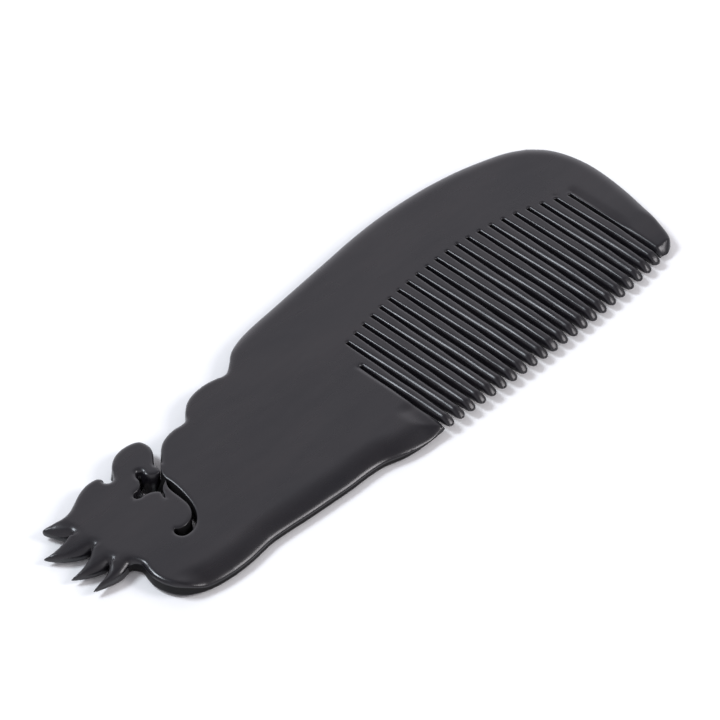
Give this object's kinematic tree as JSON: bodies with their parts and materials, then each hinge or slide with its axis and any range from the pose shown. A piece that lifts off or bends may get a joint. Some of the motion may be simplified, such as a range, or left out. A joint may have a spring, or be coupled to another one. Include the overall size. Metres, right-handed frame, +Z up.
{
  "type": "beard comb",
  "caption": "Flat black horn beard comb with a row of rounded teeth and a flat handle cut to the outline of a maned animal head.",
  "frame": {"origin": "middle of the bounding box, on the lower flat face the comb lies on", "axes": "+X along the comb from the head to the front end of the blade, -Y the way the teeth point, +Z up through the plate"},
  "size_m": [0.1776, 0.0591, 0.0042],
  "materials": {
    "horn": "polished black horn"
  },
  "bodies": {
    "root": {"back_plate": "horn", "front_guard": "horn", "rear_guard": "horn", "grip": "horn", "neck": "horn", "chin": "horn", "cheek": "horn", "brow": "horn", "snout": "horn", "lower_jaw": "horn", "mane_spike_1": "horn", "mane_spike_2": "horn", "mane_spike_3": "horn", "mane_spike_4": "horn", "tooth_01": "horn", "tooth_02": "horn", "tooth_03": "horn", "tooth_04": "horn", "tooth_05": "horn", "tooth_06": "horn", "tooth_07": "horn", "tooth_08": "horn", "tooth_09": "horn", "tooth_10": "horn", "tooth_11": "horn", "tooth_12": "horn", "tooth_13": "horn", "tooth_14": "horn", "tooth_15": "horn", "tooth_16": "horn", "tooth_17": "horn", "tooth_18": "horn", "tooth_19": "horn", "tooth_20": "horn", "tooth_21": "horn", "tooth_22": "horn"}
  },
  "joints": []
}
